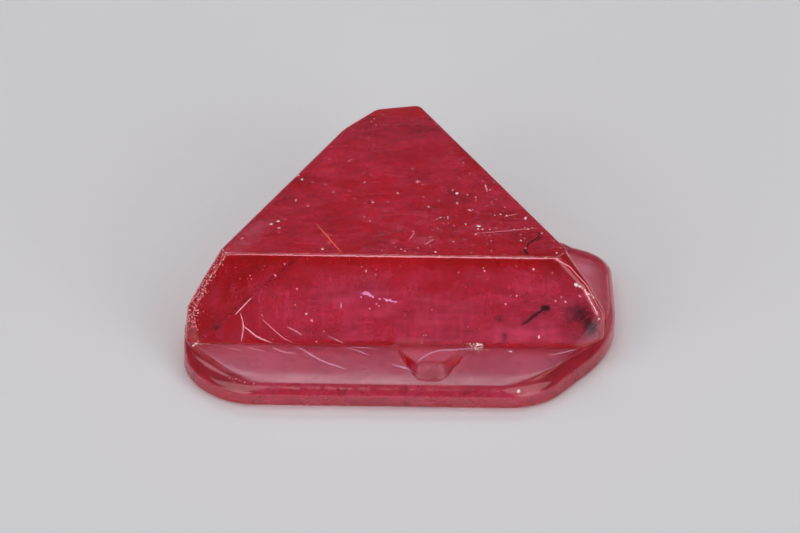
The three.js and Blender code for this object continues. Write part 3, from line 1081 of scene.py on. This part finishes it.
# Bright specks: bruised, rough spots of the skin, painted white where they catch the lamps'
# glints:
# painted highlights.
block_rim = left_rim * smoothstep(0.7, 1.2, points[:, 2])
clouds = smoothstep(-0.25, 0.45, noise_at(points, 0.55, 4, 31.0))
low_right = smoothstep(-2.0, 1.5, points[:, 0]) * smoothstep(1.6, -0.2, points[:, 1])
add_parts("painted_glint_specks", [
    *flakes(sprinkled(45, block_rim), 0.024),
    *flakes(sprinkled(50, top_face * low_right), 0.034),
    *flakes(sprinkled(14, front_face), 0.022),
    *flakes(cloud((1.70, -2.92, 0.64), (0.10, 0.08, 0.01), 70), 0.017, proud=0.3, stretch=2.4),
    *flakes(from_above(
        (-2.58, -1.04), (-2.42, -1.18), (-2.44, -0.93), (0.06, 0.09), (1.30, 0.09), (1.21, 0.20),
        (2.21, -0.68), (2.73, -0.82), (1.75, -1.11), (1.48, -1.04), (-1.95, 0.60), (0.71, -0.40),
        (0.85, -2.05), (-1.50, -1.94), (2.41, -3.06), (3.00, -2.84),
    ), 0.052, stretch=1.6),
    *flakes(from_front(
        (-1.64, 0.67), (-1.85, 1.24), (2.89, 2.21), (3.28, 2.14), (4.20, 1.31), (4.26, 1.19),
    ), 0.040),
    *flakes(from_front(
        (3.78, 1.90), (3.86, 1.87), (3.96, 1.79), (4.04, 1.70), (4.14, 1.61), (4.20, 1.55),
    ), 0.07, stretch=1.3),
    *flakes(from_front((3.91, 1.83), (4.00, 1.74), (4.09, 1.66), (3.82, 1.92)), 0.035),
    *flakes(from_above((-4.14, -2.78), (-4.05, -2.80), (-4.2, -2.82)), 0.05, stretch=1.6),
    *flakes(from_above((-4.10, -2.74), (-3.98, -2.79), (-3.90, -2.80)), 0.03),
    # The biggest flake, on the lip's right corner, is where the front right lamps glint: a painted
    # highlight.
    *flakes(from_above((2.57, -4.28)), 0.13, stretch=1.4),
], GLINT_WHITE)
add_parts("pink_specks", [
    *flakes(sprinkled(420, block_rim), 0.022),
    *flakes(from_above(
        (-3.44, -3.88), (-3.37, -3.93), (-3.30, -3.92), (-3.22, -3.98), (-3.12, -4.03),
        (-3.05, -4.05), (-3.33, -3.99), (-2.93, -4.08),
    ), 0.026),
    *flakes(sprinkled(110, top_face * clouds), 0.034),
    *flakes(sprinkled(22, front_face * clouds), 0.024),
    *flakes(from_above(
        (-2.07, -0.16), (-1.82, -0.38), (-3.18, -1.55), (-2.03, 0.75), (0.48, 0.53),
        (-0.46, -0.24), (1.30, -0.27), (1.57, -0.53), (1.69, -1.40), (0.13, -1.94),
        (-0.52, -0.93), (4.21, -2.67), (3.85, -2.56), (4.03, -3.24),
    ), 0.058, stretch=1.7),
    *flakes(from_front(
        (-2.29, 2.25), (-2.49, 2.02), (-2.04, 1.74), (-1.73, 1.10), (-1.48, 0.89), (-1.21, 0.71),
        (-0.60, 2.13), (3.35, 1.57), (3.47, 1.65), (3.55, 1.55), (0.77, 1.35), (2.31, 1.49),
    ), 0.050),
    seam(0.030, from_above((1.90, 0.42), (1.94, 0.13))),
    seam(0.026, from_above((0.31, -1.58), (0.42, -1.33))),
    seam(0.026, from_above((0.62, -1.80), (0.81, -1.58))),
    seam(0.016, from_above((1.73, -1.37), (2.27, -1.29), (2.98, -1.18))),
    seam(0.016, from_above((2.27, -0.78), (2.61, -0.64))),
], PINK)
add_parts("magenta_specks", [
    *flakes(from_front((-0.60, 1.70), (-0.46, 1.60), (-0.38, 1.46), (-0.33, 1.42)), 0.05),
    seam(0.075, from_front((-0.70, 1.67), (-0.58, 1.67), (-0.46, 1.62))),
    seam(0.045, from_front((-0.24, 1.57), (-0.12, 1.54), (0.02, 1.50))),
    *flakes(from_front(
        (-0.31, 1.56), (-0.10, 1.54), (0.02, 1.51), (-0.52, 1.36), (2.41, 1.66), (2.54, 1.66),
        (1.87, 2.16), (-0.70, 1.60),
    ), 0.05),
], MAGENTA)
add_parts("scarlet_seam", [
    seam(0.035, from_above((-1.65, -1.00), (-1.40, -1.50), (-1.10, -2.09))),
], SCARLET)


def behind_front(x, z, depth):
    """The spot depth behind the front face at x and z."""
    return from_front((x, z))[0] + np.array((0, depth, 0))


# Dark inclusions behind the front face, and a crack at the top face's right corner.
DARK_RADIUS = 0.011
dark_spots = np.concatenate([
    cloud(behind_front(3.80, 1.24, 0.14), (0.15, 0.05, 0.10), 2600),
    cloud(behind_front(4.06, 0.96, 0.12), (0.07, 0.04, 0.13), 1900),
    cloud(behind_front(3.14, 1.40, 0.05), (0.05, 0.02, 0.04), 420),
    cloud(behind_front(2.20, 1.15, 0.06), (0.06, 0.03, 0.04), 160),
    cloud(behind_front(2.29, 0.78, 0.06), (0.03, 0.03, 0.06), 160),
    cloud(behind_front(-3.70, 0.92, 0.06), (0.06, 0.03, 0.07), 200),
])
dark_spots = dark_spots[inside_block(dark_spots, 0.01)]
add_grains("dark_grains", dark_spots, DARK_RADIUS, DARK)
add_parts("dark_cracks", [
    seam(0.060, from_front((3.14, 1.40), (2.89, 1.26), (2.78, 1.15), (2.64, 1.07)), sunk=0.03),
    seam(0.045, from_above((3.02, -1.30), (2.98, -1.50), (2.80, -1.72), (2.74, -1.90)), sunk=0.03),
    seam(0.070, from_above((2.74, -1.90), (2.72, -2.00), (2.78, -2.14)), sunk=0.035),
    seam(0.030, from_above((3.10, -1.44), (2.96, -1.62)), sunk=0.03),
], DARK)


# ---- Table, lights and camera ----

def table_material():
    material, _, surface = new_material("table")
    surface.inputs["Base Color"].default_value = (0.86, 0.853, 0.885, 1)
    surface.inputs["Roughness"].default_value = 0.9
    surface.inputs["Specular IOR Level"].default_value = 0.1
    return material


# In metres. The table lies a hair below the crystal.
HALF_TABLE = 0.3
TABLE_GAP = 0.01 * MM
corners = ((-1, -1), (1, -1), (1, 1), (-1, 1))
table = add_mesh(
    "table",
    [(x * HALF_TABLE, y * HALF_TABLE, -TABLE_GAP) for x, y in corners],
    [(0, 1, 2, 3)],
    smooth=False,
)
table.data.materials.append(table_material())

ROOM_LIGHT = 0.105
world = bpy.data.worlds.new("room")
world.use_nodes = True
world.node_tree.nodes["Background"].inputs["Color"].default_value = (1, 1, 1, 1)
world.node_tree.nodes["Background"].inputs["Strength"].default_value = ROOM_LIGHT
bpy.context.scene.world = world

MIDDLE = Vector([(a + b) / 2 for a, b in zip(*cad_box)])
LIGHT_DISTANCE = 0.3
# The heading and height of each light in degrees, its width and depth in metres, its watts.
LIGHTS = {
    "light_front_right": (-51, 20, 0.25, 0.25, 0.215),
    "light_front_left": (-129, 20, 0.25, 0.25, 0.225),
    "light_sparkle": (-51, 17, 0.02, 0.02, 0.015),
    "light_left": (207, 60, 0.28, 0.28, 0.21),
    "light_right": (-27, 60, 0.28, 0.28, 0.21),
    "light_back": (90, 52, 0.30, 0.12, 0.13),
}


def soft_light(name, heading, height, width, depth, power):
    """A light box LIGHT_DISTANCE metres away that faces the crystal."""
    lamp = bpy.data.lights.new(name, "AREA")
    lamp.shape = "ELLIPSE"
    lamp.size = width
    lamp.size_y = depth
    lamp.energy = power
    holder = bpy.data.objects.new(name, lamp)
    bpy.context.scene.collection.objects.link(holder)
    rise = math.radians(height)
    away = Vector((*heading_vector(heading) * math.cos(rise), math.sin(rise)))
    holder.location = MIDDLE + away * LIGHT_DISTANCE
    holder.rotation_euler = (-away).to_track_quat("-Z", "Y").to_euler()


for light_name, settings in LIGHTS.items():
    soft_light(light_name, *settings)

ELEVATION = math.radians(35.2)
LENS = 600
SENSOR = 36
# The picture is this many crystals wide, and its middle is this far below the crystal's.
CRYSTALS_ACROSS = 1.863
TARGET_DROP = 0.38 * MM
FRAME_WIDTH = (HIGH.x - LOW.x) * MM * CRYSTALS_ACROSS

camera_data = bpy.data.cameras.new("camera")
camera_data.lens = LENS
camera_data.sensor_width = SENSOR
camera_data.clip_start = 0.001
camera_data.clip_end = 10
camera = bpy.data.objects.new("camera", camera_data)
bpy.context.scene.collection.objects.link(camera)
back = Vector((0, -math.cos(ELEVATION), math.sin(ELEVATION)))
up = Vector((0, math.sin(ELEVATION), math.cos(ELEVATION)))
camera.location = MIDDLE - up * TARGET_DROP + back * (LENS * FRAME_WIDTH / SENSOR)
camera.rotation_euler = (-back).to_track_quat("-Z", "Y").to_euler()
bpy.context.scene.camera = camera

bpy.context.scene.view_settings.view_transform = "Standard"
# Without this, light that a rough face scatters is lost on its way to the lights.
bpy.context.scene.cycles.blur_glossy = 0
# Light crosses many faces and haze sheets on its way through. With fewer bounces they go dark.
bpy.context.scene.cycles.max_bounces = 24
bpy.context.scene.cycles.transmission_bounces = 24
bpy.context.scene.cycles.glossy_bounces = 16
bpy.context.scene.cycles.transparent_max_bounces = 96
